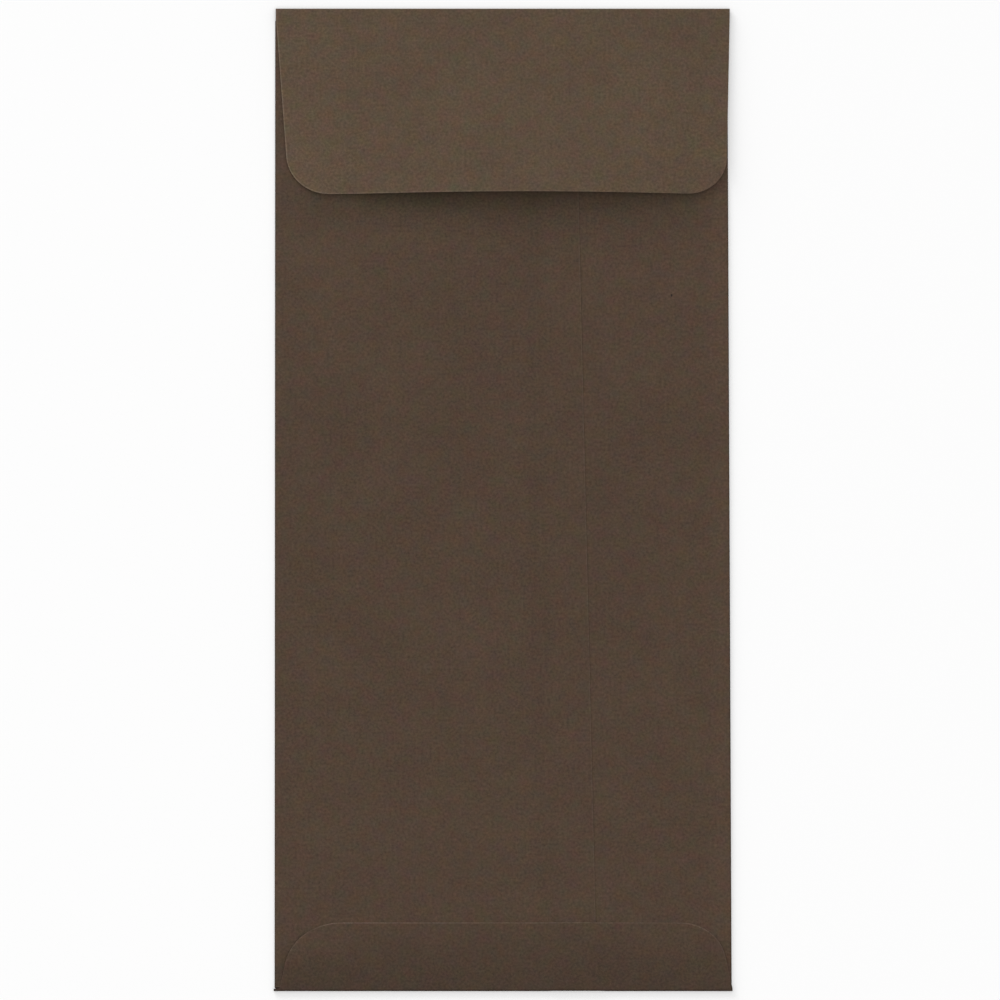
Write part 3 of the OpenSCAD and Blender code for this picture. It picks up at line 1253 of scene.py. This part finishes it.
    def thicken(self, sheet: Field) -> Field:
        """Turns the sheet of faces into a closed sheet of paper, soft at its cut rims.

        Args:
            sheet: The folded sheet, its faces pointing to the paper's outer side.

        Returns:
            The closed sheet, with cut, 1 on its cut edges, stored on its faces.
        """
        graph, given = self.graph, self.given
        half = given["Paper"] * 0.5
        raised = graph.shifted(sheet, graph.join(0.0, 0.0, half))
        normal = graph.made("GeometryNodeInputNormal")
        inner = graph.shifted(raised, graph.vector("SCALE", normal, -half))
        outer = graph.use(
            "GeometryNodeExtrudeMesh",
            {"Mesh": inner, "Offset Scale": given["Paper"], "Individual": False},
            mode="FACES",
        )
        near = graph.math("MAXIMUM", 1.0 - graph.stored("rim", "FLOAT") / given["Rim Width"], 0.0)
        high = graph.ramp(self.z, given["Side Rise"] * 0.5, given["Side Rise"])
        press = graph.join(0.0, 0.0, -(given["Rim Press"] * near * near * high))
        soft = graph.shifted(outer.outputs["Mesh"], press, outer.outputs["Top"])
        both = graph.use("GeometryNodeJoinGeometry")
        graph.feed(both.inputs[0], self.store(soft, "cut", outer.outputs["Side"], "FLOAT", "FACE"))
        graph.feed(both.inputs[0], graph.made("GeometryNodeFlipFaces", {"Mesh": inner}))
        inputs = {"Geometry": both.outputs[0], "Distance": self.MERGE_DISTANCE}
        return self.shade_smooth(graph.made("GeometryNodeMergeByDistance", inputs))

    def shade_smooth(self, paper: Field) -> Field:
        """Gives the sheet smooth faces that part where the paper was cut.

        Args:
            paper: The closed sheet.

        Returns:
            The sheet, with its faces smooth and the edges past the sharp angle sharp.
        """
        graph = self.graph
        inputs = {"Geometry": paper, "Shade Smooth": True}
        smooth = graph.made("GeometryNodeSetShadeSmooth", inputs, domain="FACE")
        angle = graph.use("GeometryNodeInputMeshEdgeAngle").outputs["Unsigned Angle"]
        sharp = graph.math("GREATER_THAN", angle, self.SHARP_ANGLE)
        inputs = {"Geometry": smooth, "Selection": sharp, "Shade Smooth": False}
        return graph.made("GeometryNodeSetShadeSmooth", inputs, domain="EDGE")


@dataclass(frozen=True)
class Lamp:
    """A soft rectangular lamp that faces the envelope, out of the camera's sight."""

    name: str
    place: Point
    size: tuple[float, float]
    power: float

    def build(self) -> None:
        """Hangs the lamp in its place."""
        light = bpy.data.lights.new(self.name, "AREA")
        light.shape = "RECTANGLE"
        light.size, light.size_y = self.size
        light.energy = self.power
        holder = add_object(self.name, light)
        holder.location = self.place
        holder.rotation_mode = "QUATERNION"
        holder.rotation_quaternion = Vector(self.place).to_track_quat("Z", "Y")
        holder.visible_camera = False


@dataclass
class Studio:
    """The plain pale floor, the soft light and the long lens that looks down on the back."""

    elevation: float = 69.75
    azimuth: float = -0.89
    roll: float = 0.84
    distance: float = 7.58
    pixels_per_metre: float = 4337.4
    picture: float = 1000.0
    sensor: float = 36.0
    clip: tuple[float, float] = (0.1, 100.0)
    aim: Point = (-0.505 * MM, -0.50 * MM, 0.0)
    floor_half: float = 6.0
    floor_gap: float = 0.05 * MM
    lamps: tuple[Lamp, ...] = (
        Lamp("key", place=(-1.92, 3.32, 1.14), size=(2.8, 1.9), power=93.0),
        Lamp("fill", place=(0.4, -2.0, 3.4), size=(3.0, 3.0), power=54.0),
    )
    world_light: float = 0.53
    ground: PaleGround = PaleGround()

    def build(self) -> None:
        """Makes the floor, the lamps, the world and the camera."""
        self.build_floor()
        for lamp in self.lamps:
            lamp.build()
        self.build_world()
        self.build_camera()
        bpy.context.scene.view_settings.view_transform = "Standard"

    def build_floor(self) -> None:
        """Makes the floor, just under the sheet."""
        half = self.floor_half
        corners = [(-half, -half), (half, -half), (half, half), (-half, half)]
        mesh = bpy.data.meshes.new("floor")
        mesh.from_pydata([(x, y, -self.floor_gap) for x, y in corners], [], [(0, 1, 2, 3)])
        mesh.materials.append(self.ground.material())
        floor = add_object("floor", mesh)

    def build_world(self) -> None:
        """Makes a world that shows white and lights the scene evenly."""
        world = bpy.data.worlds.new("studio")
        world.use_nodes = True
        bpy.context.scene.world = world
        graph = Graph(world.node_tree)
        seen = seen_directly(graph)
        strength = seen * (1.0 - self.world_light) + self.world_light
        background = world.node_tree.nodes["Background"]
        graph.feed(background.inputs["Color"], (*UNTINTED, 1.0))
        graph.feed(background.inputs["Strength"], strength)

    def build_camera(self) -> None:
        """Makes the camera at the photograph's viewing angle."""
        rise, turn, tilt = (math.radians(a) for a in (self.elevation, self.azimuth, self.roll))
        back = Vector((
            math.sin(turn) * math.cos(rise),
            -math.cos(turn) * math.cos(rise),
            math.sin(rise),
        ))
        level = Vector((0.0, 0.0, 1.0)).cross(back).normalized()
        upright = back.cross(level)
        right = level * math.cos(tilt) + upright * math.sin(tilt)
        up = upright * math.cos(tilt) - level * math.sin(tilt)
        lens = bpy.data.cameras.new("camera")
        lens.sensor_width = self.sensor
        lens.lens = self.pixels_per_metre * self.distance / self.picture * self.sensor
        lens.clip_start, lens.clip_end = self.clip
        camera = add_object("camera", lens)
        turned = Matrix((right, up, back)).transposed().to_4x4()
        camera.matrix_world = Matrix.Translation(Vector(self.aim) + back * self.distance) @ turned
        bpy.context.scene.camera = camera


def main() -> None:
    """Builds the envelope and its studio."""
    logging.basicConfig(level=logging.INFO, format="%(name)s: %(message)s")
    sheet = FoldedSheet()
    piece = sheet.build()
    sheet.declare(piece)
    log.info("%s: %d faces", piece.name, len(piece.data.polygons))
    Studio().build()
    log.info("studio built")


if __name__ == "__main__":
    main()
